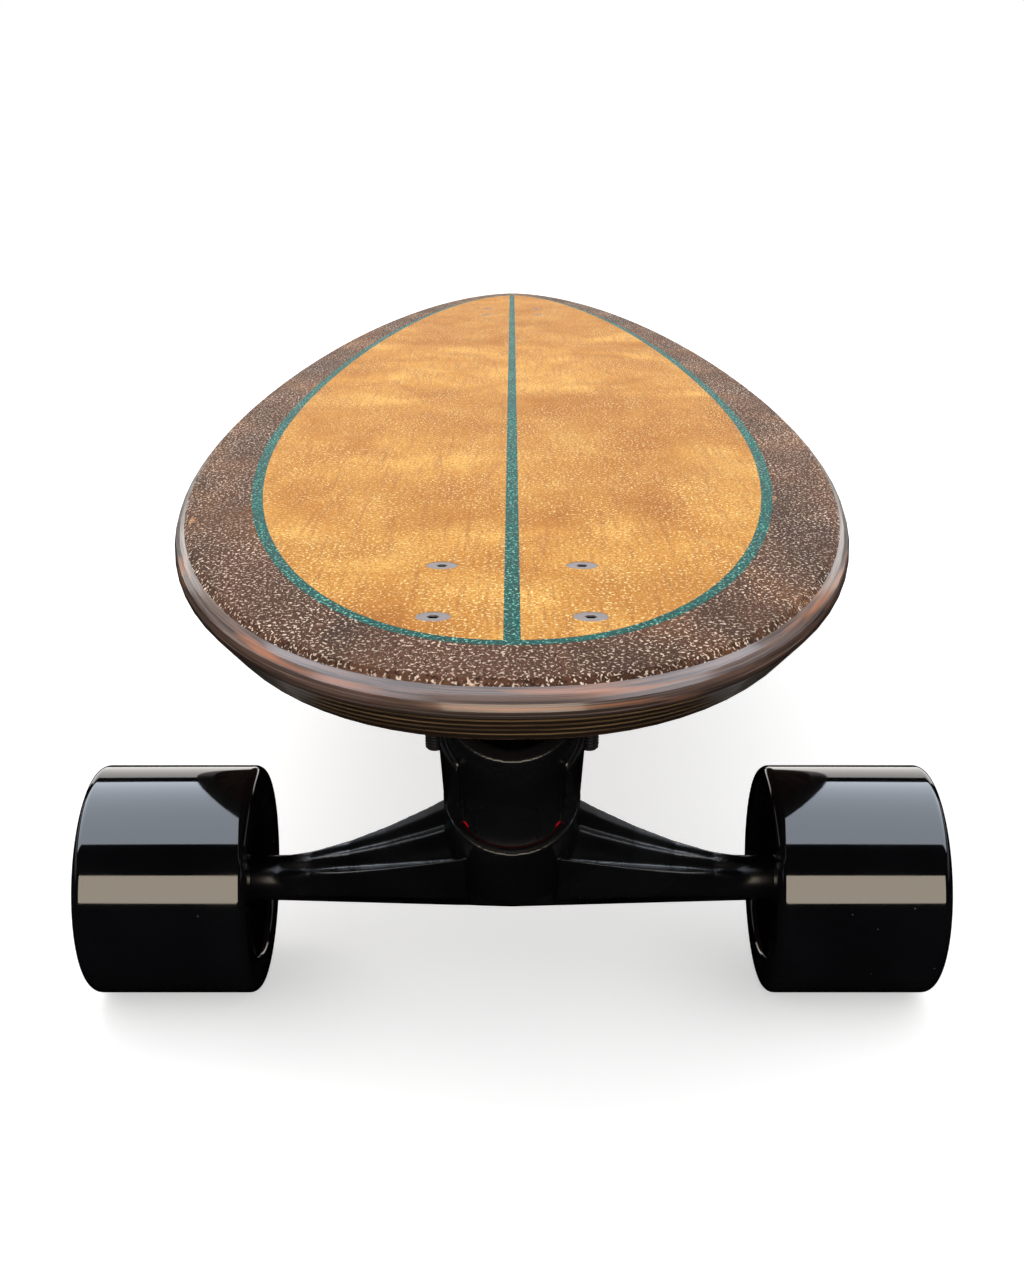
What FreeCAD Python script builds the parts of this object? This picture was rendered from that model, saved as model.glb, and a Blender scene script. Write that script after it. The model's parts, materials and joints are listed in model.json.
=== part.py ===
"""Surf-style longboard: a laminated deck, two torsion trucks and four wheels.

Frame: X across the board, Y from the nose to the tail, Z up. The origin is on the floor, below the
middle of the deck. Sizes are in millimetres and degrees.
"""
import FreeCAD, Part
import math
import os

from FreeCAD import Placement, Rotation, Vector
import Sketcher

SIZES = {
    # deck: plan
    "deck_length": 1143.0,
    "deck_width": 263.0,
    "widest_station": 420.0,
    "nose_power": 2.3,
    "tail_power": 1.75,
    # deck: section
    "deck_thickness": 16.0,
    "top_veneer": 1.5,
    "rim_inset": 5.5,
    "rim_power": 1.7,
    "waist_depth": 6.5,
    "bevel_depth": 8.0,
    "bevel_inset": 8.0,
    # deck: inlay
    "border_width": 25.0,
    "nose_border": 31.0,
    "tail_border": 26.6,
    "inlay_nose_power": 2.2,
    "inlay_tail_power": 1.75,
    "pinstripe_width": 4.2,
    "stringer_width": 4.4,
    # truck positions and bolt pattern
    "truck_height": 84.0,
    "nose_to_axle": 108.0,
    "wheelbase": 813.0,
    "bolt_spacing": 41.3,
    "bolt_row_spacing": 53.98,
    "spare_row_offset": 9.52,
    "bolt_row_lead": 51.5,
    # mounting bolts and nuts
    "bolt_diameter": 5.0,
    "bolt_head_diameter": 9.4,
    "bolt_head_sink": 0.2,
    "bolt_reach": 8.0,
    "bolt_hole": 5.5,
    "bolt_socket_width": 3.0,
    "bolt_socket_depth": 1.8,
    "bolt_nut_width": 8.0,
    "bolt_nut_height": 5.0,
    "nut_clearance": 3.0,
    "bolt_end_clearance": 1.4,
    # baseplate casting
    "plate_width": 57.0,
    "plate_lead": 66.0,
    "plate_tail": 24.0,
    "plate_thickness": 8.0,
    "plate_corner": 8.0,
    "cheek_width": 38.0,
    "cheek_rear": 14.0,
    "tower_diameter": 27.0,
    "mouth_diameter": 26.0,
    "face_diameter": 34.0,
    "face_width": 27.0,
    "collar_diameter": 37.6,
    "collar_length": 40.0,
    "notch_width": 3.2,
    "notch_height": 4.5,
    # steering axis: angle above the floor and stations measured up it from the axle
    "steer_angle": 47.0,
    "kingpin_root": 12.0,
    "hub_floor": 25.0,
    "journal_end": 51.0,
    "rim_station": 65.0,
    "mouth_floor": 88.0,
    "mouth_station": 119.0,
    "running_gap": 0.3,
    "steering_gap": 1.0,
    # steering pieces
    "kingpin_diameter": 9.9,
    "sleeve_bore": 10.0,
    "sleeve_diameter": 14.0,
    "bushing_wall": 1.6,
    "journal_gap": 0.3,
    "bushing_lip": 0.7,
    "top_bushing_diameter": 25.0,
    "top_bushing_height": 4.2,
    "top_washer_diameter": 23.0,
    "top_washer_thickness": 1.5,
    "kingpin_nut_width": 16.0,
    "kingpin_nut_height": 5.5,
    "kingpin_stub": 1.0,
    # hanger casting
    "hub_diameter": 38.0,
    "hub_taper": 27.0,
    "rim_chamfer": 1.0,
    "hanger_width": 180.0,
    "bar_middle_diameter": 18.0,
    "bar_end_diameter": 14.0,
    "arm_root": 13.0,
    "arm_reach": 74.0,
    "arm_sweep": 1.5,
    # axle hardware
    "axle_diameter": 8.0,
    "axle_length": 254.0,
    "axle_nut_width": 13.0,
    "axle_nut_height": 8.0,
    "speed_washer_diameter": 11.0,
    "speed_washer_thickness": 1.0,
    # bearings
    "bearing_diameter": 22.0,
    "bearing_width": 7.0,
    "bearing_spacing": 10.0,
    "inner_ring_diameter": 10.8,
    "outer_ring_bore": 18.8,
    "spacer_diameter": 12.0,
    "shield_bore": 11.8,
    "shield_thickness": 0.3,
    "ball_diameter": 3.9,
    # wheels
    "wheel_diameter": 70.0,
    "wheel_width": 51.0,
    "wheel_edge": 3.0,
    "recess_diameter": 48.0,
    "core_diameter": 40.0,
    "core_width": 24.0,
    "core_bore": 19.0,
    "core_hole_diameter": 4.6,
}
OUTLINE_STEPS = 96
CORE_HOLES = 8
BALLS_PER_BEARING = 7

ARM_SECTIONS = 6

# Corners of an arm's section, as (behind the steering axis, along it from the axle). The root
# section lies inside the hub and the tip section inside the bar: fin, groove, middle ridge, valley,
# front ridge and front shoulder, between a rear and a front foot.
ARM_ROOT = [(6.5, -3.0), (8.0, 51.0), (3.5, 51.0), (0.0, 46.0), (-3.5, 50.5), (-11.0, 42.0), (-17.0, 58.0),
            (-17.4, 27.0), (-8.8, 0.0)]
ARM_TIP = [(6.3, -2.6), (5.2, 4.4), (4.2, 5.4), (3.4, 5.2), (2.2, 6.5), (0.4, 5.6), (-2.3, 6.4), (-6.6, 1.6),
           (-6.8, 0.0)]

doc = FreeCAD.newDocument("longboard")
sheet = doc.addObject("Spreadsheet::Sheet", "dims")
for row, (alias, value) in enumerate(SIZES.items(), start=1):
    sheet.set("A%d" % row, alias)
    sheet.set("B%d" % row, str(value))
    sheet.setAlias("B%d" % row, alias)
doc.recompute()

parts = []


def size(expression):
    """The number that an expression in the sheet's aliases stands for."""
    return float(sheet.evalExpression(bind(expression)))


def bind(expression):
    """The same expression with each alias pointed at the sheet."""
    words = expression.split(" ")
    return " ".join("dims." + word if word in SIZES else word for word in words)


def keep(item, label, frame):
    """Names a finished sub-part, places it and puts it on the list of nodes."""
    item.Label = label
    item.Placement = frame
    parts.append(item)
    return item


# ---------------------------------------------------------------- shared shape makers

def origin_plane(body, role):
    return next(plane for plane in body.Origin.OriginFeatures if plane.Role == role)


def turned(name, corners):
    """A body turned about its own Z axis from (radius, height) corners, given as expressions."""
    body = doc.addObject("PartDesign::Body", name + "_body")
    sketch = body.newObject("Sketcher::SketchObject", name + "_profile")
    sketch.AttachmentSupport = [(origin_plane(body, "XZ_Plane"), "")]
    sketch.MapMode = "FlatFace"
    points = [Vector(size(radius), size(height), 0) for radius, height in corners]
    for index, point in enumerate(points):
        following = points[(index + 1) % len(points)]
        sketch.addGeometry(Part.LineSegment(point, following))
    for index in range(len(points)):
        before = (index - 1) % len(points)
        sketch.addConstraint(Sketcher.Constraint("Coincident", before, 2, index, 1))
    for index, (radius, height) in enumerate(corners):
        pin_to_axis(sketch, index, "DistanceX", -2, radius)
        pin_to_axis(sketch, index, "DistanceY", -1, height)
    solid = body.newObject("PartDesign::Revolution", name + "_turned")
    solid.Profile = sketch
    solid.ReferenceAxis = (sketch, ["V_Axis"])
    solid.Angle = 360
    doc.recompute()
    return body


def pin_to_axis(sketch, line, direction, axis, expression):
    """Sets one coordinate of a line's start point, on the axis where the expression is zero."""
    if expression == "0":
        sketch.addConstraint(Sketcher.Constraint("PointOnObject", line, 1, axis))
        return
    number = sketch.addConstraint(Sketcher.Constraint(direction, -1, 1, line, 1, size(expression)))
    sketch.setExpression("Constraints[%d]" % number, bind(expression))


def tube(name, outer, inner, bottom, top):
    """A turned ring between two stations of its own Z axis."""
    return turned(name, [(inner, bottom), (outer, bottom), (outer, top), (inner, top)])


def round_circles(body, tool, circle_radius, amount, amount_name):
    """Fillets or chamfers every circular edge of the body's tip that has the given radius."""
    tip = body.Tip
    names = []
    for index, edge in enumerate(tip.Shape.Edges, start=1):
        if isinstance(edge.Curve, Part.Circle) and abs(edge.Curve.Radius - circle_radius) < 1e-4:
            names.append("Edge%d" % index)
    feature = body.newObject(tool, tip.Name + "_" + amount_name)
    feature.Base = (tip, names)
    feature.setExpression(amount_name, bind(amount))
    doc.recompute()
    return feature


def hexagon(name, width, height):
    """A six-sided prism with the given width across its flats."""
    prism = doc.addObject("Part::Prism", name)
    prism.Polygon = 6
    prism.setExpression("Circumradius", bind(width + " / ( 2 * cos( 30 deg ) )"))
    prism.setExpression("Height", bind(height))
    return prism


def hexagon_nut(name, width, height, bore):
    """A nut standing on Z = 0, bevelled at both ends, with a plain bore."""
    blank = hexagon(name + "_blank", width, height)
    corner = "0.54 * " + width
    cone = turned(name + "_bevel", [("0", "0"), ("0.49 * " + width, "0"),
                                    (corner + " + 0.5", "0.12 * " + width),
                                    (corner + " + 0.5", height + " - 0.12 * " + width),
                                    ("0.49 * " + width, height), ("0", height)])
    hole = doc.addObject("Part::Cylinder", name + "_hole")
    hole.setExpression("Radius", bind(bore + " / 2"))
    hole.setExpression("Height", bind(height))
    bevelled = doc.addObject("Part::Common", name + "_bevelled")
    bevelled.Base, bevelled.Tool = blank, cone
    nut = doc.addObject("Part::Cut", name)
    nut.Base, nut.Tool = bevelled, hole
    doc.recompute()
    return nut


def shape_part(name, shape):
    """A document object around a shape that was worked out in code."""
    item = doc.addObject("Part::Feature", name)
    item.Shape = shape
    return item


def group(name, master, frames):
    """Copies of one piece at several places, as separate solids of one sub-part."""
    copies = []
    for frame in frames:
        copy = master.Shape.copy()
        copy.Placement = frame
        copies.append(copy)
    return shape_part(name, Part.makeCompound(copies))


def shift(x=0.0, y=0.0, z=0.0):
    return Placement(Vector(x, y, z), Rotation())


# ---------------------------------------------------------------- deck

deck_bottom = size("wheel_diameter / 2 + truck_height")
deck_top = size("wheel_diameter / 2 + truck_height + deck_thickness")
veneer_line = deck_top - size("top_veneer")
widest_y = size("widest_station - deck_length / 2")


def superellipse(half_width, nose_reach, tail_reach, powers, height):
    """A closed outline of two half superellipses that meet at the widest station."""
    points, stations = [], []
    for step in range(OUTLINE_STEPS + 1):
        turn = 2 * math.pi * step / OUTLINE_STEPS
        ahead = math.cos(turn) > 0
        reach, power = (-nose_reach, powers[0]) if ahead else (tail_reach, powers[1])
        across = math.copysign(abs(math.sin(turn)) ** (2 / power), math.sin(turn))
        along = abs(math.cos(turn)) ** (2 / power)
        points.append(Vector(half_width * across, widest_y + reach * along, height))
        stations.append(turn)
    curve = Part.BSplineCurve()
    curve.interpolate(Points=points[:-1], Parameters=stations, PeriodicFlag=True)
    return Part.Wire(curve.toShape())


def deck_outline(inset, height):
    nose_reach = size("widest_station") - inset
    tail_reach = size("deck_length - widest_station") - inset
    powers = size("nose_power"), size("tail_power")
    return superellipse(size("deck_width") / 2 - inset, nose_reach, tail_reach, powers, height)


def inlay_outline(inset, height):
    nose_reach = size("widest_station - nose_border") - inset
    tail_reach = size("deck_length - widest_station - tail_border") - inset
    powers = size("inlay_nose_power"), size("inlay_tail_power")
    half_width = size("deck_width / 2 - border_width") - inset
    return superellipse(half_width, nose_reach, tail_reach, powers, height)


def edge_inset(depth):
    """How far the deck's edge lies inside its widest outline at a depth below the top face."""
    waist, bevel = size("waist_depth"), size("bevel_depth")
    if depth < waist:
        return size("rim_inset") * (1 - depth / waist) ** size("rim_power")
    slope = size("bevel_inset") / (size("deck_thickness") - bevel)
    return max(0.0, depth - bevel) * slope


def deck_layer(depths):
    """The deck's solid between the first and the last of the given depths."""
    sections = [deck_outline(edge_inset(depth), deck_top - depth) for depth in depths]
    return Part.makeLoft(sections, True, True)


def inlay_slab(inset):
    face = Part.Face(inlay_outline(inset, veneer_line))
    return face.extrude(Vector(0, 0, size("top_veneer")))


def bolt_places():
    """Centres of the mounting bolts in a truck's own frame, where the axle is at y = 0."""
    half = size("bolt_spacing") / 2
    lead = size("bolt_row_lead")
    rows = -lead, size("bolt_row_spacing") - lead
    return [(side * half, row) for row in rows for side in (-1, 1)]


def truck_frame(place):
    """Where a truck's own frame lies on the board; the rear one faces the other way."""
    nose_axle = size("nose_to_axle - deck_length / 2")
    if place == "front":
        return shift(y=nose_axle)
    return Placement(Vector(0, nose_axle + size("wheelbase"), 0), Rotation(Vector(0, 0, 1), 180))


def deck_bolt_holes():
    """Countersunk holes for both trucks, as one cutting tool."""
    head, shank, hole = (size(name) / 2 for name in ("bolt_head_diameter", "bolt_diameter", "bolt_hole"))
    sink = size("bolt_head_sink")
    tools = []
    for place in ("front", "rear"):
        for x, y in bolt_places():
            centre = truck_frame(place).multVec(Vector(x, y, 0))
            seat_depth = sink + head - shank
            seat = Part.makeCone(shank, head + sink, seat_depth,
                                 Vector(centre.x, centre.y, deck_top - seat_depth))
            bore = Part.makeCylinder(hole, deck_top - deck_bottom, Vector(centre.x, centre.y, deck_bottom))
            tools.append(seat.fuse(bore))
    return Part.makeCompound(tools)


def build_deck():
    holes = deck_bolt_holes()
    veneer, waist, bevel, thickness = (
        size(name) for name in ("top_veneer", "waist_depth", "bevel_depth", "deck_thickness"))
    rounding = [veneer + (waist - veneer) * share for share in (0.0, 0.3, 0.65, 1.0)]
    core = deck_layer(rounding + [bevel, thickness]).cut(holes)
    keep(shape_part("deck_core_shape", core), "deck_core", shift())

    pinstripe_width, half_stringer = size("pinstripe_width"), size("stringer_width") / 2
    rim = deck_layer([0.0, veneer / 2, veneer]).cut(inlay_slab(0.0))
    keep(shape_part("border_shape", rim), "border_veneer", shift())
    inner = inlay_slab(pinstripe_width)
    keep(shape_part("pinstripe_shape", inlay_slab(0.0).cut(inner)), "pinstripe", shift())

    length, width = size("deck_length"), size("deck_width")
    strip = Part.makeBox(2 * half_stringer, length, veneer, Vector(-half_stringer, -length / 2, veneer_line))
    keep(shape_part("stringer_shape", inner.common(strip)), "stringer", shift())
    for label, left_edge in (("field_left", -width), ("field_right", half_stringer)):
        corner = Vector(left_edge, -length / 2, veneer_line)
        half = Part.makeBox(width - half_stringer, length, veneer, corner)
        field = inner.common(half).cut(holes)
        keep(shape_part(label + "_shape", field), label, shift())


# ---------------------------------------------------------------- truck: castings

def steering_frame():
    """The truck's steering axis as Z, from the axle's centre up towards the nose end."""
    tilt = Rotation(Vector(1, 0, 0), 90 - size("steer_angle"))
    return Placement(Vector(0, 0, size("wheel_diameter / 2")), tilt)


def on_axis(radius, bottom, top):
    """A cylinder about the steering axis between two stations."""
    return Part.makeCylinder(radius, top - bottom, Vector(0, 0, bottom))


def cheek_outline():
    """Side view of the block between the plate and the tower, closed, in the truck's frame."""
    steer = steering_frame()
    collar_bottom = size("rim_station + steering_gap")
    radius = size("collar_diameter") / 2
    lead, rear = size("plate_lead"), size("cheek_rear")
    plate_underside = deck_bottom - size("plate_thickness")
    tower_side = steer.multVec(Vector(0, 0, collar_bottom))
    collar_back = steer.multVec(Vector(0, radius, collar_bottom))
    axis_slope = math.tan(math.radians(size("steer_angle")))
    front_height = tower_side.z + (lead + tower_side.y) * axis_slope
    points = [(tower_side.y, tower_side.z), (collar_back.y, collar_back.z), (-rear, plate_underside),
              (-rear, deck_bottom), (-lead, deck_bottom), (-lead, front_height)]
    return [Vector(0, y, z) for y, z in points]


def baseplate_shape():
    """Plate, cheeks and tower as one casting, in the truck's own frame."""
    steer = steering_frame()
    lead, tail, thickness = size("plate_lead"), size("plate_tail"), size("plate_thickness")
    plate_width, cheek_width = size("plate_width"), size("cheek_width")
    plate = Part.makeBox(plate_width, lead + tail, thickness,
                         Vector(-plate_width / 2, -lead, deck_bottom - thickness))
    corners = [edge for edge in plate.Edges if abs(edge.tangentAt(edge.FirstParameter).z) > 0.9]
    plate = plate.makeFillet(size("plate_corner"), corners)

    outline = cheek_outline()
    side = Part.Face(Part.makePolygon(outline + outline[:1]))
    side.translate(Vector(-cheek_width / 2, 0, 0))
    cheeks = side.extrude(Vector(cheek_width, 0, 0))

    collar_bottom = size("rim_station + steering_gap")
    face_width, reach = size("face_width"), size("collar_diameter")
    collar = on_axis(reach / 2, collar_bottom, collar_bottom + size("collar_length"))
    opening = Part.makeBox(face_width, reach, reach + size("collar_length"),
                           Vector(-face_width / 2, -reach, collar_bottom))
    face = on_axis(size("face_diameter") / 2, collar_bottom, size("mouth_station"))
    shell = collar.cut(opening).fuse(face)
    notch_width = size("notch_width")
    for side in (-1, 1):
        corner = Vector(side * face_width / 2 - notch_width / 2, -reach, collar_bottom)
        shell = shell.cut(Part.makeBox(notch_width, reach, size("notch_height"), corner))
    tower = shell.fuse(on_axis(size("tower_diameter") / 2, size("journal_end"), size("mouth_station")))
    tower.Placement = steer
    body = plate.fuse([cheeks, tower])

    bore = on_axis(size("sleeve_diameter") / 2, size("journal_end"), size("mouth_floor"))
    mouth = on_axis(size("mouth_diameter") / 2, size("mouth_floor"), size("mouth_station"))
    hollow = bore.fuse(mouth)
    hollow.Placement = steer
    lid = Part.makeBox(4 * lead, 4 * lead, 2 * lead, Vector(-2 * lead, -2 * lead, deck_bottom))
    tools = [hollow, lid]
    hole, plate_underside = size("bolt_hole") / 2, deck_bottom - thickness
    nut_height, bolt_reach = size("bolt_nut_height"), size("bolt_reach")
    nut_room = size("bolt_nut_width / 2 + nut_clearance / 2")
    end_room = size("bolt_diameter / 2 + bolt_end_clearance / 2")
    for x, y in bolt_places():
        tools.append(Part.makeCylinder(hole, thickness, Vector(x, y, plate_underside)))
        tools.append(Part.makeCylinder(nut_room, nut_height, Vector(x, y, plate_underside - nut_height)))
        end = Vector(x, y, plate_underside - nut_height - 2 * bolt_reach)
        tools.append(Part.makeCylinder(end_room, 2 * bolt_reach, end))
        if y > 0:
            spare = Vector(x, y + size("spare_row_offset"), plate_underside)
            tools.append(Part.makeCylinder(hole, thickness, spare))
    for tool in tools:
        body = body.cut(tool)
    return body


def arm_solid(side):
    """A ribbed arm that sweeps down in a hollow curve from the hub to the bar."""
    root, reach, sweep = size("arm_root"), size("arm_reach"), size("arm_sweep")
    sections = []
    for number in range(ARM_SECTIONS):
        share = number / (ARM_SECTIONS - 1)
        lift = (1 - share) ** sweep
        x = side * (root + (reach - root) * share)
        points = [Vector(x, tip[0] + (top[0] - tip[0]) * lift, tip[1] + (top[1] - tip[1]) * lift)
                  for top, tip in zip(ARM_ROOT, ARM_TIP)]
        sections.append(Part.makePolygon(points + points[:1]))
    return Part.makeLoft(sections, True, True)


def hanger_shape():
    """Hub, axle bar and two ribbed arms as one casting, in the steering frame."""
    hub_radius, taper, rim = size("hub_diameter") / 2, size("hub_taper"), size("rim_station")
    middle, end = size("bar_middle_diameter") / 2, size("bar_end_diameter") / 2
    half_width, reach = size("hanger_width") / 2, size("arm_reach")
    hub = on_axis(hub_radius, taper, rim).fuse(Part.makeCone(middle, hub_radius, taper))
    pieces = []
    for side in (-1, 1):
        outward = Vector(side, 0, 0)
        pieces.append(Part.makeCone(middle, end, reach, Vector(0, 0, 0), outward))
        pieces.append(Part.makeCylinder(end, half_width - reach, outward * reach, outward))
        pieces.append(arm_solid(side))
    body = hub.fuse(pieces)

    bore_radius = size("tower_diameter / 2 + journal_gap + bushing_wall")
    chamfer = size("rim_chamfer")
    bore = on_axis(bore_radius, size("hub_floor"), rim + 1.0)
    rim_cut = Part.makeCone(bore_radius, bore_radius + chamfer, chamfer, Vector(0, 0, rim - chamfer))
    kingpin_hole = on_axis(size("kingpin_diameter") / 2, size("kingpin_root"), rim)
    axle_hole = Part.makeCylinder(size("axle_diameter") / 2, 2 * half_width, Vector(-half_width, 0, 0),
                                  Vector(1, 0, 0))
    return body.cut([bore, rim_cut, kingpin_hole, axle_hole]).removeSplitter()


# ---------------------------------------------------------------- truck: assembly

def build_mounting(place, frame):
    """Countersunk socket bolts through deck and plate, with a nut on each."""
    name = place + "_mounting"
    head, shank = "bolt_head_diameter / 2", "bolt_diameter / 2"
    length = "deck_thickness + plate_thickness + bolt_nut_height + bolt_reach - bolt_head_sink"
    shank_top = length + " - ( bolt_head_diameter - bolt_diameter ) / 2"
    blank = turned(name + "_bolt", [("0", "0"), (shank + " - 0.6", "0"), (shank, "0.6"), (shank, shank_top),
                                    (head, length), ("0", length)])
    socket = hexagon(name + "_socket", "bolt_socket_width", "bolt_socket_depth")
    socket.Placement = shift(z=size(length + " - bolt_socket_depth"))
    bolt = doc.addObject("Part::Cut", name + "_bolt_cut")
    bolt.Base, bolt.Tool = blank, socket
    nut = hexagon_nut(name + "_nut", "bolt_nut_width", "bolt_nut_height", "bolt_diameter")
    bolt_end = deck_bottom - size("plate_thickness + bolt_nut_height + bolt_reach")
    nut_seat = deck_bottom - size("plate_thickness + bolt_nut_height")
    bolts = [shift(x, y, bolt_end) for x, y in bolt_places()]
    nuts = [shift(x, y, nut_seat) for x, y in bolt_places()]
    keep(group(name + "_bolts", bolt, bolts), place + "_mounting_bolts", frame)
    keep(group(name + "_nuts", nut, nuts), place + "_mounting_nuts", frame)


def build_steering(place, frame):
    """Everything strung on the kingpin, in the steering frame."""
    name = place + "_truck_"
    steer = frame.multiply(steering_frame())
    sleeve = tube(name + "sleeve", "sleeve_diameter / 2", "sleeve_bore / 2", "journal_end", "mouth_floor")
    keep(sleeve, place + "_pivot_sleeve", steer)

    bushing_top = "mouth_floor + top_bushing_height"
    washer_bottom = bushing_top + " + running_gap"
    nut_bottom = washer_bottom + " + top_washer_thickness"
    pin_end = nut_bottom + " + kingpin_nut_height + kingpin_stub"
    top_bushing = tube(name + "top_bushing", "top_bushing_diameter / 2", "sleeve_bore / 2 + running_gap",
                       "mouth_floor", bushing_top)
    keep(top_bushing, place + "_upper_bushing", steer)

    pin = "kingpin_diameter / 2"
    kingpin = turned(name + "kingpin", [("0", "kingpin_root"), (pin, "kingpin_root"),
                                        (pin, pin_end + " - 0.8"), (pin + " - 0.8", pin_end),
                                        ("0", pin_end)])
    keep(kingpin, place + "_kingpin", steer)
    washer = tube(name + "washer", "top_washer_diameter / 2", pin, washer_bottom, nut_bottom)
    keep(washer, place + "_kingpin_washer", steer)
    nut = hexagon_nut(name + "nut", "kingpin_nut_width", "kingpin_nut_height", "kingpin_diameter")
    keep(nut, place + "_kingpin_nut", steer.multiply(shift(z=size(nut_bottom))))

    wall_inside = "tower_diameter / 2 + journal_gap"
    wall_outside = wall_inside + " + bushing_wall"
    spring_top = "journal_end - running_gap"
    spring = turned(name + "spring", [(pin, "hub_floor"), (wall_outside, "hub_floor"),
                                      (wall_outside, "rim_station - rim_chamfer"),
                                      (wall_outside + " + rim_chamfer / 2", "rim_station - rim_chamfer / 2"),
                                      (wall_outside + " + rim_chamfer / 2", "rim_station + bushing_lip"),
                                      (wall_inside, "rim_station + bushing_lip"),
                                      (wall_inside, spring_top), (pin, spring_top)])
    keep(spring, place + "_lower_bushing", steer)


def across(x):
    """A frame at x along the axle, with its Z pointing out along +X."""
    return Placement(Vector(x, 0, size("wheel_diameter / 2")), Rotation(Vector(0, 1, 0), 90))


def mirrored_across(stations):
    """Frames at the given distances from the middle, on both sides, pointing outwards."""
    flip = Placement(Vector(0, 0, 0), Rotation(Vector(1, 0, 0), 180))
    return [across(x) for x in stations] + [across(-x).multiply(flip) for x in stations]


def axle_stations():
    """Distances from the middle along the axle: bar face, both bearings, outer washer and nut."""
    inner_washer = size("hanger_width") / 2
    inner_bearing = inner_washer + size("speed_washer_thickness")
    spacer = inner_bearing + size("bearing_width")
    outer_bearing = spacer + size("bearing_spacing")
    outer_washer = outer_bearing + size("bearing_width")
    nut = outer_washer + size("speed_washer_thickness")
    return inner_washer, inner_bearing, spacer, outer_bearing, outer_washer, nut


def build_axle(place, frame):
    """Axle, nuts, washers, spacers and the bearings' inner rings, which turn with nothing."""
    name = place + "_axle_"
    inner_washer, inner_bearing, spacer, outer_bearing, outer_washer, nut = axle_stations()
    radius = "axle_diameter / 2"
    rod = turned(name + "rod", [("0", "0"), (radius + " - 0.8", "0"), (radius, "0.8"),
                                (radius, "axle_length - 0.8"), (radius + " - 0.8", "axle_length"),
                                ("0", "axle_length")])
    keep(rod, place + "_axle", frame.multiply(across(-size("axle_length") / 2)))
    washer = tube(name + "washer", "speed_washer_diameter / 2", radius, "0", "speed_washer_thickness")
    ring = tube(name + "ring", "inner_ring_diameter / 2", radius, "0", "bearing_width")
    tube_between = tube(name + "spacer", "spacer_diameter / 2", radius, "0", "bearing_spacing")
    lock_nut = hexagon_nut(name + "nut", "axle_nut_width", "axle_nut_height", "axle_diameter")
    sets = (("axle_nuts", lock_nut, [nut]), ("speed_washers", washer, [inner_washer, outer_washer]),
            ("bearing_inner_rings", ring, [inner_bearing, outer_bearing]),
            ("bearing_spacers", tube_between, [spacer]))
    for label, master, stations in sets:
        keep(group(name + label, master, mirrored_across(stations)), place + "_" + label, frame)


def build_truck(place):
    frame = truck_frame(place)
    keep(shape_part(place + "_baseplate_shape", baseplate_shape()), place + "_baseplate", frame)
    hanger_frame = frame.multiply(steering_frame())
    keep(shape_part(place + "_hanger_shape", hanger_shape()), place + "_hanger", hanger_frame)
    build_mounting(place, frame)
    build_steering(place, frame)
    build_axle(place, frame)


# ---------------------------------------------------------------- wheels

def tyre_body(name):
    half, core_half = "wheel_width / 2", "core_width / 2"
    recess, core = "recess_diameter / 2", "core_diameter / 2"
    tyre = turned(name, [(core, half + " - " + core_half), (recess, half + " - " + core_half), (recess, "0"),
                         ("wheel_diameter / 2", "0"), ("wheel_diameter / 2", "wheel_width"),
                         (recess, "wheel_width"), (recess, half + " + " + core_half),
                         (core, half + " + " + core_half)])
    round_circles(tyre, "PartDesign::Fillet", size("wheel_diameter") / 2, "wheel_edge", "Radius")
    return tyre


def core_body(name):
    """The wheel's hard centre: two bearing seats, a rim and a ring of lightening holes."""
    seat_depth = "( core_width - bearing_spacing ) / 2"
    seat, bore, rim = "bearing_diameter / 2", "core_bore / 2", "core_diameter / 2"
    core = turned(name, [(seat, "0"), (rim, "0"), (rim, "core_width"), (seat, "core_width"),
                         (seat, "core_width - " + seat_depth), (bore, "core_width - " + seat_depth),
                         (bore, seat_depth), (seat, seat_depth)])
    sketch = core.newObject("Sketcher::SketchObject", name + "_hole_profile")
    sketch.AttachmentSupport = [(origin_plane(core, "XY_Plane"), "")]
    sketch.MapMode = "FlatFace"
    pitch, radius = "( bearing_diameter + core_diameter ) / 4", "core_hole_diameter / 2"
    circle = sketch.addGeometry(Part.Circle(Vector(size(pitch), 0, 0), Vector(0, 0, 1), size(radius)))
    sketch.addConstraint(Sketcher.Constraint("PointOnObject", circle, 3, -1))
    pin_to_centre = sketch.addConstraint(Sketcher.Constraint("DistanceX", -1, 1, circle, 3, size(pitch)))
    sketch.setExpression("Constraints[%d]" % pin_to_centre, bind(pitch))
    hole_size = sketch.addConstraint(Sketcher.Constraint("Radius", circle, size(radius)))
    sketch.setExpression("Constraints[%d]" % hole_size, bind(radius))
    pocket = core.newObject("PartDesign::Pocket", name + "_hole")
    pocket.Profile = sketch
    pocket.Type = "ThroughAll"
    pocket.Reversed = True
    pattern = core.newObject("PartDesign::PolarPattern", name + "_holes")
    pattern.Originals = [pocket]
    pattern.Axis = (sketch, ["N_Axis"])
    pattern.Angle = 360
    pattern.Occurrences = CORE_HOLES
    core.Tip = pattern
    doc.recompute()
    return core


def outer_ring_body(name):
    """A bearing's outer ring with a shield in each face."""
    ring, bore, shield = "bearing_diameter / 2", "outer_ring_bore / 2", "shield_bore / 2"
    return turned(name, [(shield, "0"), (ring, "0"), (ring, "bearing_width"), (shield, "bearing_width"),
                         (shield, "bearing_width - shield_thickness"),
                         (bore, "bearing_width - shield_thickness"),
                         (bore, "shield_thickness"), (shield, "shield_thickness")])


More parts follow.
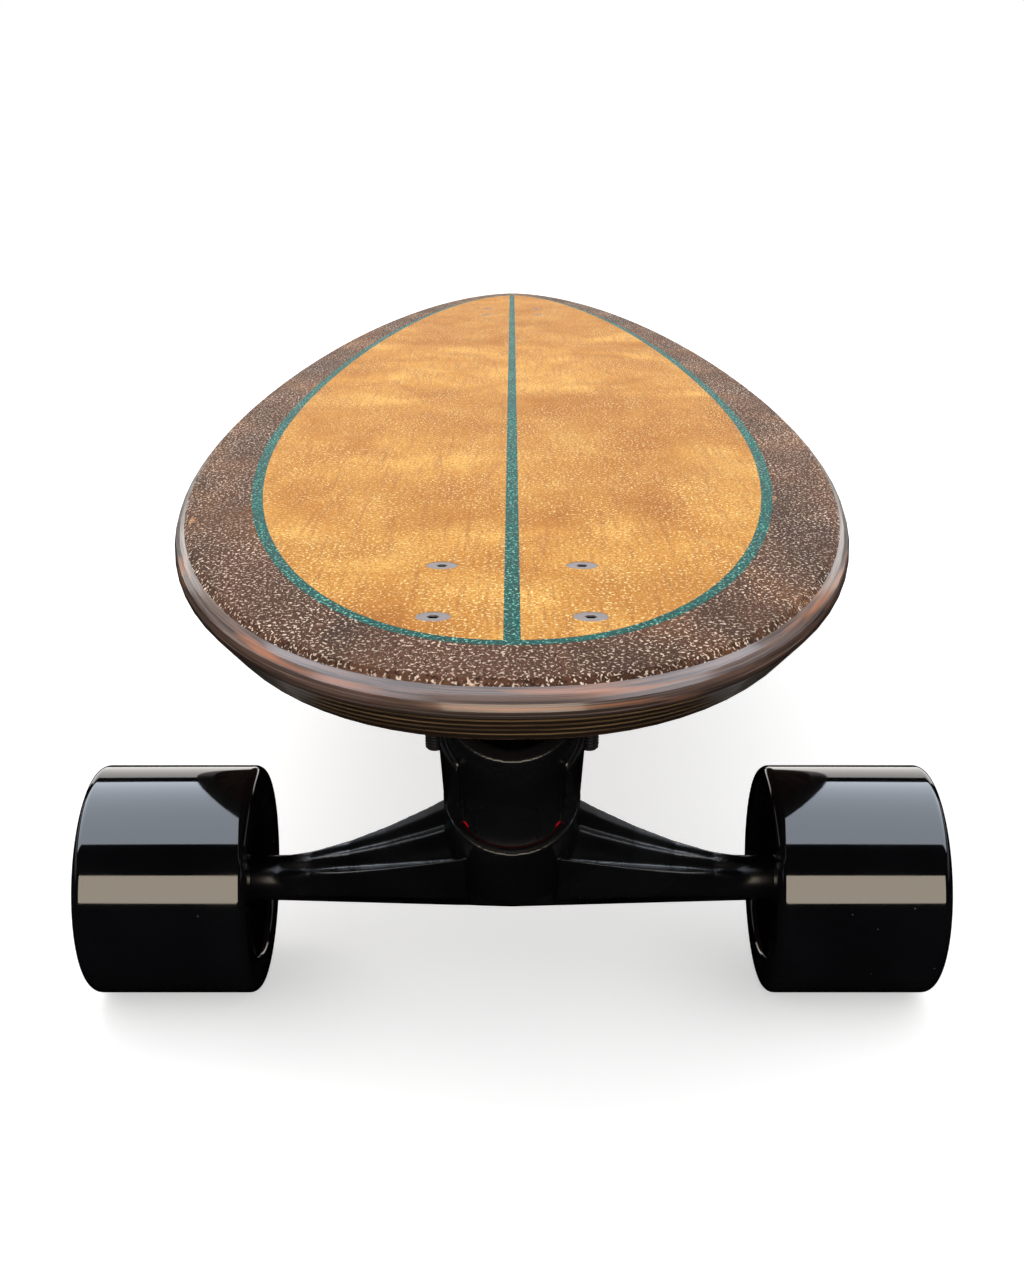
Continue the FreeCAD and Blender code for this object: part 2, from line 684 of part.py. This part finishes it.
def ball_set_shape():
    """The balls of one bearing, resting on its outer ring, centred on the bearing's width."""
    ball = size("ball_diameter") / 2
    pitch = size("outer_ring_bore") / 2 - ball
    middle = size("bearing_width") / 2
    balls = []
    for number in range(BALLS_PER_BEARING):
        turn = 2 * math.pi * number / BALLS_PER_BEARING
        balls.append(Part.makeSphere(ball, Vector(pitch * math.cos(turn), pitch * math.sin(turn), middle)))
    return Part.makeCompound(balls)


def build_wheel(place, hand):
    name = "%s_%s_wheel" % (place, hand)
    side = -1 if hand == "left" else 1
    if place == "rear":
        side = -side
    frame = truck_frame(place)
    _, inner_bearing, spacer, outer_bearing, _, _ = axle_stations()
    centre = spacer + size("bearing_spacing") / 2
    outwards = mirrored_across([centre])[0 if side > 0 else 1]
    outwards = frame.multiply(outwards)
    keep(tyre_body(name + "_tyre"), name + "_tyre", outwards.multiply(shift(z=-size("wheel_width") / 2)))
    keep(core_body(name + "_core"), name + "_core", outwards.multiply(shift(z=-size("core_width") / 2)))
    bearings = [shift(z=inner_bearing - centre), shift(z=outer_bearing - centre)]
    ring = outer_ring_body(name + "_ring")
    keep(group(name + "_rings", ring, bearings), name + "_bearing_rings", outwards)
    balls = shape_part(name + "_ball_set", ball_set_shape())
    keep(group(name + "_balls", balls, bearings), name + "_bearing_balls", outwards)


# ---------------------------------------------------------------- build, check, write

build_deck()
for end in ("front", "rear"):
    build_truck(end)
    for hand in ("left", "right"):
        build_wheel(end, hand)
doc.recompute()

for item in doc.Objects:
    if "Invalid" in item.State or "Error" in item.State:
        raise RuntimeError("%s could not be computed: %s" % (item.Label, item.State))
for item in parts:
    if item.Shape.isNull() or not item.Shape.isValid() or item.Shape.Volume <= 0:
        raise RuntimeError("%s is not a valid solid" % item.Label)

os.makedirs("parts", exist_ok=True)
for item in parts:
    item.Shape.exportStep("parts/%s.step" % item.Label)
print("wrote %d sub-parts" % len(parts))
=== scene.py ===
"""The looks of the surf-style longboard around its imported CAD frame. Lengths are in metres."""
import json
import math

import bmesh
import bpy
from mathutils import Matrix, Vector


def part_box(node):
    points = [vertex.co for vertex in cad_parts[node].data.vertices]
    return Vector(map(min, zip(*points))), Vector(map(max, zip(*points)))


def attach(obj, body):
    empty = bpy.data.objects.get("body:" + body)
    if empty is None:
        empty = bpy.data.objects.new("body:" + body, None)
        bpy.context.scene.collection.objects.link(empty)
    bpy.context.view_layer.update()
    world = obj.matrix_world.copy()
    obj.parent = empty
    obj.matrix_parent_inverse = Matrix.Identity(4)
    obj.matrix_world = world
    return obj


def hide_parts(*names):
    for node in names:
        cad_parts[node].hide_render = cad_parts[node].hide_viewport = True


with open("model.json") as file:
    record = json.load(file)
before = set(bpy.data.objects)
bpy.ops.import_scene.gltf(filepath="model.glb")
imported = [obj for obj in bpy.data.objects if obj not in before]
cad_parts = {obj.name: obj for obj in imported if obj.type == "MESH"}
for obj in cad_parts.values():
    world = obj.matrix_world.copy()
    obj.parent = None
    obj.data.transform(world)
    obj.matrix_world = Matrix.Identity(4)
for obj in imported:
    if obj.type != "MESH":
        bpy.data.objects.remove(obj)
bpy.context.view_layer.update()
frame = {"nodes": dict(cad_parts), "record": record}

MM = 0.001
ENDS = ("front", "rear")
HANDS = ("left", "right")

deck_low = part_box("deck_core")[0]
top_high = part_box("field_left")[1]
nose_y = deck_low.y
deck_top, deck_bottom = top_high.z, deck_low.z
deck_thickness = deck_top - deck_bottom


# ---------------------------------------------------------------- node materials

class Paint:
    """One node material. Each method adds a node and gives back its output socket."""

    def __init__(self, name, **constants):
        self.material = bpy.data.materials.new(name)
        self.material.use_nodes = True
        self.nodes = self.material.node_tree.nodes
        self.links = self.material.node_tree.links
        self.shader = self.nodes["Principled BSDF"]
        for label, value in constants.items():
            self.shader.inputs[label.replace("_", " ")].default_value = value
        self.coordinates = self.nodes.new("ShaderNodeTexCoord").outputs["Object"]

    def node(self, kind, inputs, output=0, **settings):
        made = self.nodes.new(kind)
        for label, value in settings.items():
            setattr(made, label, value)
        for label, value in inputs.items():
            socket = made.inputs[label]
            if isinstance(value, bpy.types.NodeSocket):
                self.links.new(value, socket)
            else:
                socket.default_value = value
        return made.outputs[output]

    def place(self, stretch=(1, 1, 1)):
        """Position in metres on the resting board, scaled along each axis."""
        return self.node("ShaderNodeMapping", {"Vector": self.coordinates, "Scale": stretch})

    def noise(self, scale, stretch=(1, 1, 1), detail=3.0, distortion=0.0):
        return self.node("ShaderNodeTexNoise", {"Vector": self.place(stretch), "Scale": scale,
                                                "Detail": detail, "Distortion": distortion})

    def axis(self, letter):
        return self.node("ShaderNodeSeparateXYZ", {"Vector": self.coordinates}, letter)

    def math(self, operation, first, second=0.0):
        return self.node("ShaderNodeMath", {0: first, 1: second}, operation=operation)

    def ramp(self, factor, *stops):
        """Colours, or grey levels, along a factor; each stop is (position, value)."""
        made = self.nodes.new("ShaderNodeValToRGB")
        ramp = made.color_ramp
        while len(ramp.elements) < len(stops):
            ramp.elements.new(0.5)
        for element, (position, value) in zip(ramp.elements, stops):
            element.position = position
            element.color = (value, value, value, 1) if isinstance(value, float) else (*value, 1)
        self.links.new(factor, made.inputs["Fac"])
        return made.outputs["Color"]

    def mix(self, factor, first, second):
        """The first colour turning into the second as the factor goes from 0 to 1."""
        made = self.nodes.new("ShaderNodeMix")
        made.data_type = "RGBA"
        sockets = {"Factor": made.inputs[0], "A": made.inputs[6], "B": made.inputs[7]}
        for label, value in (("Factor", factor), ("A", first), ("B", second)):
            if isinstance(value, bpy.types.NodeSocket):
                self.links.new(value, sockets[label])
            else:
                sockets[label].default_value = value if label == "Factor" else (*value, 1)
        return made.outputs[2]

    def specks(self, pitch, share, size):
        """A mask of round flecks: one cell in each pitch, of which a share is lit."""
        cells = self.nodes.new("ShaderNodeTexVoronoi")
        self.links.new(self.place(), cells.inputs["Vector"])
        cells.inputs["Scale"].default_value = 1 / pitch
        chance = self.node("ShaderNodeSeparateColor", {"Color": cells.outputs["Color"]}, "Red")
        lit = self.math("GREATER_THAN", chance, 1 - share)
        near = self.math("LESS_THAN", cells.outputs["Distance"], size)
        strength = self.node("ShaderNodeSeparateColor", {"Color": cells.outputs["Color"]}, "Green")
        return self.math("MULTIPLY", self.math("MULTIPLY", lit, near), strength)

    def bump(self, height, distance, strength):
        inputs = {"Height": height, "Distance": distance, "Strength": strength}
        return self.node("ShaderNodeBump", inputs)

    def finish(self, color, roughness, normal=None):
        """Joins the channels to the shader and gives back the material."""
        for label, socket in (("Base Color", color), ("Roughness", roughness), ("Normal", normal)):
            if socket is not None:
                self.links.new(socket, self.shader.inputs[label])
        return self.material


# The grip coat's grains scatter light too widely to mirror the studio.
GRIP = dict(Specular_IOR_Level=0.01)


def grip_bump(paint, strength):
    """The fine broken-glass grain of the clear grip coat."""
    return paint.bump(paint.noise(1500.0, detail=2.0), 0.25 * MM, strength)


def grit_and_painted_glints(paint, base, dark, pale):
    """Fine grains all over a base colour: darker flecks, and bright flecks painted on as glints of the
    broken glass.
    """
    dark_fleck_noise = paint.noise(1000.0, (1, 0.60, 1), 1.0)
    glints = paint.noise(1200.0, (1, 0.62, 1), 1.0, 0.5)
    patches = paint.noise(38.0, (1, 0.5, 1), 2.0)
    base = paint.mix(paint.ramp(dark_fleck_noise, (0.34, 0.75), (0.52, 0.0)), base, dark)
    # Painted glints: a sparse mask of bright flecks, mixed toward the pale colour.
    painted_glint_mask = paint.math("MULTIPLY", paint.ramp(glints, (0.575, 0.0), (0.665, 1.0)),
                       paint.ramp(patches, (0.3, 0.40), (0.6, 0.95)))
    return paint.mix(painted_glint_mask, base, pale)


def field_wood():
    """Amber veneer with soft figure across the board and long pores, under the grip coat."""
    paint = Paint("field_wood", **GRIP)
    figure = paint.noise(26.0, (1.0, 0.55, 1), 5.0, 0.6)
    broad = paint.noise(11.0, (0.5, 0.9, 1), 3.0, 0.3)
    pores = paint.noise(520.0, (1, 0.05, 1), 2.0)
    base = paint.ramp(figure, (0.32, (0.42, 0.150, 0.018)), (0.45, (0.56, 0.235, 0.036)),
                      (0.58, (0.70, 0.335, 0.062)), (0.70, (0.84, 0.460, 0.105)))
    base = paint.mix(paint.ramp(broad, (0.42, 0.0), (0.62, 0.55)), base, (0.40, 0.140, 0.016))
    base = paint.mix(paint.ramp(pores, (0.34, 0.45), (0.48, 0.0)), base, (0.36, 0.115, 0.012))
    # The pale flecks are painted glints on the grip coat.
    base = grit_and_painted_glints(paint, base, (0.46, 0.140, 0.020), (1.0, 0.80, 0.36))
    return paint.finish(base, paint.ramp(pores, (0.2, 0.5), (0.8, 0.65)), grip_bump(paint, 0.30))


def border_wood():
    """Dark stained veneer with tan streaks, under the same grip coat."""
    paint = Paint("border_wood", **GRIP)
    grain = paint.noise(70.0, (1, 0.14, 1), 5.0, 0.4)
    blotch = paint.noise(30.0, (1, 0.5, 1), 4.0)
    streaks = paint.noise(46.0, (1, 0.22, 1), 2.0, 1.2)
    base = paint.ramp(grain, (0.25, (0.034, 0.014, 0.007)), (0.50, (0.068, 0.029, 0.015)),
                      (0.75, (0.120, 0.052, 0.028)))
    base = paint.mix(paint.ramp(blotch, (0.44, 0.0), (0.68, 0.65)), base, (0.145, 0.062, 0.033))
    warm = paint.noise(20.0, (1, 0.6, 1), 3.0, 0.5)
    base = paint.mix(paint.ramp(warm, (0.52, 0.0), (0.70, 0.6)), base, (0.240, 0.095, 0.032))
    base = paint.mix(paint.ramp(streaks, (0.70, 0.0), (0.74, 0.9)), base, (0.80, 0.38, 0.12))
    # The pale flecks are painted glints on the grip coat.
    base = grit_and_painted_glints(paint, base, (0.014, 0.006, 0.004), (0.95, 0.76, 0.60))
    return paint.finish(base, paint.ramp(grain, (0.2, 0.5), (0.8, 0.65)), grip_bump(paint, 0.40))


def teal_inlay():
    """Teal resin full of glitter, its sparkle painted on as pale glints."""
    paint = Paint("teal_inlay", **GRIP)
    cloud = paint.noise(140.0, (1, 0.6, 1), 3.0)
    base = paint.ramp(cloud, (0.3, (0.002, 0.048, 0.042)), (0.7, (0.010, 0.110, 0.092)))
    # The pale teal flecks are painted glints of the glitter.
    base = grit_and_painted_glints(paint, base, (0.001, 0.020, 0.019), (0.26, 0.66, 0.54))
    return paint.finish(base, paint.ramp(cloud, (0.3, 0.4), (0.7, 0.55)), grip_bump(paint, 0.30))


def deck_ply():
    """The varnished edge: a reddish brown round above, pale and dark plies in the bevel below, with sheen
    streaks and copper glints painted onto the round.
    """
    paint = Paint("deck_ply", Specular_IOR_Level=0.15, Coat_Weight=0.30, Coat_Roughness=0.14)
    height = paint.axis("Z")
    waver = paint.math("MULTIPLY", paint.math("SUBTRACT", paint.noise(9.0), 0.5), 0.5 * MM)
    level = paint.math("DIVIDE", paint.math("SUBTRACT", paint.math("ADD", height, waver), deck_bottom),
                       deck_thickness)
    dark, pale = (0.016, 0.008, 0.004), (0.125, 0.074, 0.030)
    stops = [(0.0, (0.035, 0.016, 0.008)), (0.05, dark)]
    for start in (0.09, 0.20, 0.31, 0.42):
        stops += [(start, dark), (start + 0.015, pale), (start + 0.04, pale), (start + 0.055, dark)]
    stops += [(0.53, (0.030, 0.014, 0.008)), (0.60, (0.085, 0.042, 0.026)), (0.86, (0.150, 0.085, 0.058)),
              (1.0, (0.040, 0.020, 0.012))]
    plies = paint.ramp(level, *stops)
    above = paint.ramp(level, (0.50, 0.0), (0.56, 1.0))
    grain = paint.noise(420.0, (0.07, 0.07, 4.6), 3.0)
    tone = paint.mix(paint.ramp(grain, (0.36, 0.0), (0.62, 0.75)), plies, (0.012, 0.006, 0.004))
    # Painted sheen: pale grey streaks on the upper round stand in for the studio mirrored in the varnish.
    painted_sheen_streaks = paint.noise(300.0, (0.05, 0.05, 6.5), 2.0)
    tone = paint.mix(paint.math("MULTIPLY", paint.ramp(painted_sheen_streaks, (0.54, 0.0), (0.72, 0.55)), above),
                     tone, (0.26, 0.19, 0.165))
    # Painted glints: copper streaks on the upper round.
    painted_copper_glints = paint.noise(16.0, (1, 1, 24.0), 2.0, 0.6)
    tone = paint.mix(paint.math("MULTIPLY", paint.ramp(painted_copper_glints, (0.56, 0.0), (0.72, 0.75)), above),
                     tone, (0.42, 0.150, 0.060))
    underside = paint.math("LESS_THAN", height, deck_bottom + 0.1 * MM)
    long_grain = paint.noise(240.0, (1, 0.035, 1), 5.0, 0.3)
    veneer = paint.ramp(long_grain, (0.32, (0.016, 0.007, 0.004)), (0.5, (0.055, 0.025, 0.013)),
                        (0.68, (0.115, 0.056, 0.030)))
    tone = paint.mix(underside, tone, veneer)
    return paint.finish(tone, paint.ramp(grain, (0.3, 0.34), (0.7, 0.46)),
                        paint.bump(grain, 0.06 * MM, 0.6))


def black_casting():
    """Gloss black powder coat with a faint orange peel."""
    paint = Paint("black_casting", Specular_IOR_Level=0.30)
    cloud = paint.noise(35.0)
    peel = paint.noise(420.0, detail=1.0)
    base = paint.ramp(cloud, (0.3, (0.0022, 0.0022, 0.0026)), (0.7, (0.0045, 0.0045, 0.0052)))
    return paint.finish(base, paint.ramp(cloud, (0.3, 0.20), (0.7, 0.30)),
                        paint.bump(peel, 0.04 * MM, 0.35))


def black_urethane():
    """Cast urethane with a mirror skin, a few dust flecks and faint wear."""
    paint = Paint("black_urethane", Specular_IOR_Level=0.32)
    haze = paint.noise(28.0, detail=4.0, distortion=0.5)
    dust = paint.specks(2.6 * MM, 0.10, 0.07)
    base = paint.ramp(haze, (0.3, (0.0018, 0.0018, 0.0022)), (0.7, (0.0032, 0.0032, 0.0038)))
    base = paint.mix(dust, base, (0.20, 0.19, 0.17))
    return paint.finish(base, paint.ramp(haze, (0.35, 0.045), (0.75, 0.085)),
                        paint.bump(haze, 0.05 * MM, 0.12))


def metal(name, color, roughness):
    """Turned or plated metal with fine machining marks and a little staining."""
    paint = Paint(name, Metallic=1.0)
    marks = paint.noise(260.0)
    stain = paint.noise(45.0)
    dull = tuple(0.55 * channel for channel in color)
    base = paint.mix(paint.ramp(stain, (0.4, 0.0), (0.75, 0.7)), color, dull)
    return paint.finish(base, paint.ramp(marks, (0.3, roughness * 0.75), (0.7, roughness * 1.35)),
                        paint.bump(marks, 0.03 * MM, 0.3))


def bolt_steel():
    """Pale grey screw heads; below the head tops the steel is painted near black as shade under the deck.
    """
    paint = Paint("bolt_steel", Specular_IOR_Level=0.08)
    wear = paint.noise(900.0, detail=2.0)
    head_grey = paint.ramp(wear, (0.3, (0.15, 0.125, 0.125)), (0.7, (0.23, 0.195, 0.19)))
    # Painted shade: below the head tops everything is painted near black for the dark under the deck.
    head_top_else_painted_shade = paint.math("GREATER_THAN", paint.axis("Z"), deck_top - 0.6 * MM)
    base = paint.mix(head_top_else_painted_shade, (0.012, 0.011, 0.011), head_grey)
    return paint.finish(base, paint.ramp(wear, (0.3, 0.35), (0.7, 0.55)),
                        paint.bump(wear, 0.04 * MM, 0.4))


def red_urethane():
    """Cast bushing rubber with a little light passing into it."""
    paint = Paint("red_urethane", Specular_IOR_Level=0.5, Subsurface_Weight=0.15,
                  Subsurface_Scale=2 * MM)
    cloud = paint.noise(120.0)
    base = paint.ramp(cloud, (0.3, (0.55, 0.002, 0.010)), (0.7, (0.72, 0.006, 0.018)))
    return paint.finish(base, paint.ramp(cloud, (0.3, 0.26), (0.7, 0.36)),
                        paint.bump(cloud, 0.05 * MM, 0.2))


def wheel_core():
    """Moulded nylon with a fine grain."""
    paint = Paint("wheel_core", Specular_IOR_Level=0.4)
    grain = paint.noise(900.0, detail=2.0)
    base = paint.ramp(grain, (0.3, (0.004, 0.004, 0.005)), (0.7, (0.010, 0.010, 0.011)))
    return paint.finish(base, paint.ramp(grain, (0.3, 0.34), (0.7, 0.46)),
                        paint.bump(grain, 0.08 * MM, 0.4))


materials = {
    "deck_ply": deck_ply(), "border_wood": border_wood(), "field_wood": field_wood(),
    "teal_inlay": teal_inlay(), "black_casting": black_casting(), "black_urethane": black_urethane(),
    "bolt_steel": bolt_steel(),
    "pin_steel": metal("pin_steel", (0.52, 0.52, 0.54), 0.30),
    # Near-black metal. On the bolt threads and nuts under the deck and on the kingpin nut in its mouth,
    # its darkness partly stands in for shade.
    "black_oxide": metal("black_oxide", (0.035, 0.035, 0.038), 0.34),
    "bearing_steel": metal("bearing_steel", (0.66, 0.66, 0.68), 0.16),
    "bronze_sleeve": metal("bronze_sleeve", (0.62, 0.36, 0.14), 0.32),
    "red_urethane": red_urethane(), "wheel_core": wheel_core(),
}
slot_of = {part["node"]: part["material_slot"] for part in frame["record"]["subparts"]}


def dress(item, slot):
    """Gives a whole object one of the materials above."""
    item.data.materials.clear()
    item.data.materials.append(materials[slot])


def soften(mesh, angle):
    """Smooth shading with sharp edges where faces meet at more than the angle."""
    work = bmesh.new()
    work.from_mesh(mesh)
    for face in work.faces:
        face.smooth = True
    for edge in work.edges:
        edge.smooth = len(edge.link_faces) == 2 and edge.calc_face_angle(0.0) < math.radians(angle)
    work.to_mesh(mesh)
    work.free()


def add_piece(name, mesh, body, slot):
    """A new Blender piece that rides on a body and wears a slot's material."""
    piece = bpy.data.objects.new(name, mesh)
    bpy.context.scene.collection.objects.link(piece)
    dress(piece, slot)
    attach(piece, body)
    return piece


# ---------------------------------------------------------------- wheels

WHEEL_SEGMENTS = 192
RECESS_RADIUS = 24 * MM
TREAD_EDGE = 3.0 * MM
RECESS_LIP = 2.0 * MM
RECESS_ROOT = 1.6 * MM


def arc(centre, radius, start, end, steps):
    """Points of an arc in the plane of (radius, station); angles in degrees."""
    turns = [math.radians(start + (end - start) * step / steps) for step in range(steps + 1)]
    return [(centre[0] + radius * math.cos(turn), centre[1] + radius * math.sin(turn)) for turn in turns]


def lathe(name, profile, origin, outward):
    """A closed ring of revolution: a (radius, station) profile turned about an axis along X."""
    work = bmesh.new()
    rings = []
    for step in range(WHEEL_SEGMENTS):
        turn = 2 * math.pi * step / WHEEL_SEGMENTS
        rings.append([work.verts.new(origin + Vector((outward * station, radius * math.cos(turn),
                                                      radius * math.sin(turn))))
                      for radius, station in profile])
    for index, ring in enumerate(rings):
        following = rings[(index + 1) % WHEEL_SEGMENTS]
        for row in range(len(profile)):
            above = (row + 1) % len(profile)
            work.faces.new((ring[row], ring[above], following[above], following[row]))
    bmesh.ops.recalc_face_normals(work, faces=work.faces)
    mesh = bpy.data.meshes.new(name)
    work.to_mesh(mesh)
    work.free()
    return mesh


def tyre_profile(tread, half_width, recess, core, half_core):
    """Rounded tread edges, a soft lip round each recess and a rounded recess floor."""
    edge, lip, root = TREAD_EDGE, RECESS_LIP, RECESS_ROOT
    profile = []
    for sign in (1, -1):
        side = [(core, half_core)]
        side += arc((recess - root, half_core + root), root, -90, 0, 6)
        side += arc((recess + lip, half_width - lip), lip, 180, 90, 6)
        side += arc((tread - edge, half_width - edge), edge, 90, 0, 14)
        side = [(radius, sign * station) for radius, station in side]
        profile += side if sign == 1 else side[::-1]
    return profile


def build_tyres():
    for end in ENDS:
        for hand in HANDS:
            body = "%s_%s_wheel" % (end, hand)
            low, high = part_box(body + "_tyre")
            core_low, core_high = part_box(body + "_core")
            centre = (low + high) / 2
            outward = 1 if centre.x > 0 else -1
            profile = tyre_profile((high.z - low.z) / 2, (high.x - low.x) / 2, RECESS_RADIUS,
                                   (core_high.z - core_low.z) / 2, (core_high.x - core_low.x) / 2)
            mesh = lathe(body + "_tread", profile, centre, outward)
            soften(mesh, 40.0)
            tyre = add_piece(body + "_cast_tyre", mesh, body, "black_urethane")
            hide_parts(body + "_tyre")


# ---------------------------------------------------------------- castings

CAST_GRID = 0.4 * MM
CAST_SMOOTHING = 24


def cast_skin(node, name, body):
    """The same casting with the soft edges that a mould and powder coat leave."""
    source = frame["nodes"][node]
    work = bpy.data.objects.new(name + "_work", source.data.copy())
    bpy.context.scene.collection.objects.link(work)
    remesh = work.modifiers.new("remesh", "REMESH")
    remesh.mode = "VOXEL"
    remesh.voxel_size = CAST_GRID
    remesh.use_smooth_shade = True
    smooth = work.modifiers.new("smooth", "SMOOTH")
    smooth.factor = 0.5
    smooth.iterations = CAST_SMOOTHING
    graph = bpy.context.evaluated_depsgraph_get()
    mesh = bpy.data.meshes.new_from_object(work.evaluated_get(graph))
    mesh.name = name
    bpy.data.objects.remove(work)
    skin = add_piece(name, mesh, body, "black_casting")
    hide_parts(node)


def build_castings():
    for end in ENDS:
        cast_skin(end + "_hanger", end + "_hanger_casting", end + "_hanger")
        cast_skin(end + "_baseplate", end + "_baseplate_casting", "board")


# ---------------------------------------------------------------- threads

THREAD_STEPS = 28
THREAD_FOOT = 0.98
BOLT_RADIUS = 2.5 * MM
BOLT_HEAD_RADIUS = 4.7 * MM
BOLT_PITCH = 0.8 * MM
BOLT_THREAD_START = 0.7 * MM
BOLT_THREAD_SHORT = 1.6 * MM
AXLE_PITCH = 1.0 * MM
AXLE_THREAD_START = 0.9 * MM
AXLE_THREAD_SHORT = 1.9 * MM


def thread_ridge(name, body, slot, start, direction, radius, length, pitch):
    """A helical ridge round a screw's plain shank, from its end point back along its axis."""
    around = direction.orthogonal().normalized()
    side = direction.cross(around)
    height = 0.5 * pitch
    crest_rise, crest_along, far_foot = 0.35 * height, 0.42 * pitch, 0.84 * pitch
    work = bmesh.new()
    rows = []
    for step in range(int(length / pitch * THREAD_STEPS) + 1):
        turn = 2 * math.pi * step / THREAD_STEPS
        outward = around * math.cos(turn) + side * math.sin(turn)
        foot = start + direction * (pitch * step / THREAD_STEPS)
        rows.append([work.verts.new(foot + outward * (radius * THREAD_FOOT)),
                     work.verts.new(foot + outward * (radius + crest_rise) + direction * crest_along),
                     work.verts.new(foot + outward * (radius * THREAD_FOOT) + direction * far_foot)])
    for row, following in zip(rows, rows[1:]):
        for index in range(3):
            after = (index + 1) % 3
            work.faces.new((row[index], row[after], following[after], following[index]))
    work.faces.new(rows[0])
    work.faces.new(rows[-1][::-1])
    bmesh.ops.recalc_face_normals(work, faces=work.faces)
    mesh = bpy.data.meshes.new(name)
    work.to_mesh(mesh)
    work.free()
    add_piece(name, mesh, body, slot)


def bolt_ends(node):
    """The lower ends of a truck's four bolts, found from the box that holds their heads."""
    low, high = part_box(node)
    inset = (high.x - low.x) / 2 - BOLT_HEAD_RADIUS
    rows = (low.y + BOLT_HEAD_RADIUS, high.y - BOLT_HEAD_RADIUS)
    return [Vector((x, y, low.z)) for x in (-inset, inset) for y in rows]


def build_threads():
    for end in ENDS:
        ends = bolt_ends(end + "_mounting_bolts")
        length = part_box(end + "_mounting_nuts")[0].z - ends[0].z - BOLT_THREAD_SHORT
        for number, place in enumerate(ends, start=1):
            start = place + Vector((0, 0, BOLT_THREAD_START))
            # These threads wear near-black metal, partly as painted shade under the deck.
            thread_ridge("%s_bolt_thread_%d" % (end, number), "board", "black_oxide", start,
                         Vector((0, 0, 1)), BOLT_RADIUS, length, BOLT_PITCH)
        low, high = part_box(end + "_axle")
        radius, axle_y, axle_z = (high.z - low.z) / 2, (low.y + high.y) / 2, (low.z + high.z) / 2
        length = high.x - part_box(end + "_axle_nuts")[1].x - AXLE_THREAD_SHORT
        for name, x, sign in (("left", low.x, 1), ("right", high.x, -1)):
            start = Vector((x + sign * AXLE_THREAD_START, axle_y, axle_z))
            thread_ridge("%s_%s_axle_thread" % (end, name), end + "_hanger", "pin_steel", start,
                         Vector((sign, 0, 0)), radius, length, AXLE_PITCH)


# ---------------------------------------------------------------- dressing the carried-over nodes

def dress_nodes():
    for node, item in frame["nodes"].items():
        dress(item, slot_of[node])
        item.data.polygons.foreach_set("use_smooth", [True] * len(item.data.polygons))


# ---------------------------------------------------------------- stage

FLOOR_HALF = 9.0
WARM_WHITE = (1.0, 0.97, 0.93)
COOL_WHITE = (0.95, 0.97, 1.0)
SKY_BLUE = (0.80, 0.88, 1.0)
SUNSET = (1.0, 0.87, 0.70)


def softbox(name, place, target, width, height, power, color, seen_in_gloss=True):
    """A soft light, or a card that shows only in reflections."""
    light = bpy.data.lights.new(name, "AREA")
    light.shape = "RECTANGLE"
    light.size, light.size_y = width, height
    light.energy, light.color = power, color
    item = bpy.data.objects.new(name, light)
    item.location = place
    item.rotation_euler = (Vector(target) - Vector(place)).to_track_quat("-Z", "Y").to_euler()
    item.visible_camera = False
    item.visible_glossy = seen_in_gloss
    item.visible_diffuse = not seen_in_gloss
    bpy.context.scene.collection.objects.link(item)


def build_stage():
    """A pale floor that glows a little, a white world, one key light and cards for reflections."""
    floor = bpy.data.meshes.new("floor")
    half = FLOOR_HALF
    floor.from_pydata([(-half, -half, 0), (half, -half, 0), (half, half, 0), (-half, half, 0)], [],
                      [(0, 1, 2, 3)])
    item = bpy.data.objects.new("floor", floor)
    bpy.context.scene.collection.objects.link(item)
    paint = Paint("floor_paint", Specular_IOR_Level=0.0, Emission_Strength=0.48)
    paint.shader.inputs["Emission Color"].default_value = (1, 1, 1, 1)
    tone = paint.ramp(paint.noise(2.0), (0.3, (0.84, 0.84, 0.84)), (0.7, (0.88, 0.88, 0.88)))
    item.data.materials.append(paint.finish(tone, paint.ramp(paint.noise(60.0), (0.3, 0.8), (0.7, 0.9))))
    item.visible_glossy = False

    world = bpy.data.worlds.new("studio")
    bpy.context.scene.world = world
    world.use_nodes = True
    world.node_tree.nodes["Background"].inputs["Color"].default_value = (1, 1, 1, 1)
    world.cycles_visibility.glossy = False
    softbox("key", (-0.9, 0.6, 1.8), (0, -0.1, 0.1), 1.2, 1.2, 9.0, WARM_WHITE, seen_in_gloss=False)
    softbox("overhead_card", (0, -0.10, 1.5), (0, -0.10, 0), 5.0, 2.52, 350.0, SKY_BLUE)
    softbox("front_card", (0, -3.5, 0.84), (0, 0, 0.84), 3.0, 1.56, 165.0, SUNSET)
    softbox("back_card", (0, 4.2, 1.5), (0, 0, 1.5), 7.0, 3.0, 170.0, WARM_WHITE)
    for side in (-1, 1):
        softbox("side_card", (3.6 * side, 0, 1.2), (0, 0, 1.2), 5.0, 1.0, 14.0, COOL_WHITE)


CAMERA_AHEAD = 329 * MM
CAMERA_ABOVE = 112 * MM
LOOK_DOWN = 17
FOCAL_LENGTH = 43.37
SENSOR_WIDTH = 36.0


def build_camera():
    """The viewer stands ahead of the nose and above the deck, and looks down along the board."""
    lens = bpy.data.cameras.new("camera")
    lens.lens, lens.sensor_width = FOCAL_LENGTH, SENSOR_WIDTH
    lens.clip_start, lens.clip_end = 0.01, 100.0
    camera = bpy.data.objects.new("camera", lens)
    camera.location = (0.0, nose_y - CAMERA_AHEAD, deck_top + CAMERA_ABOVE)
    camera.rotation_euler = (math.radians(90 - LOOK_DOWN), 0.0, 0.0)
    bpy.context.scene.collection.objects.link(camera)
    bpy.context.scene.camera = camera


dress_nodes()
build_tyres()
build_castings()
build_threads()
build_stage()
build_camera()
bpy.context.scene.view_settings.view_transform = "Standard"
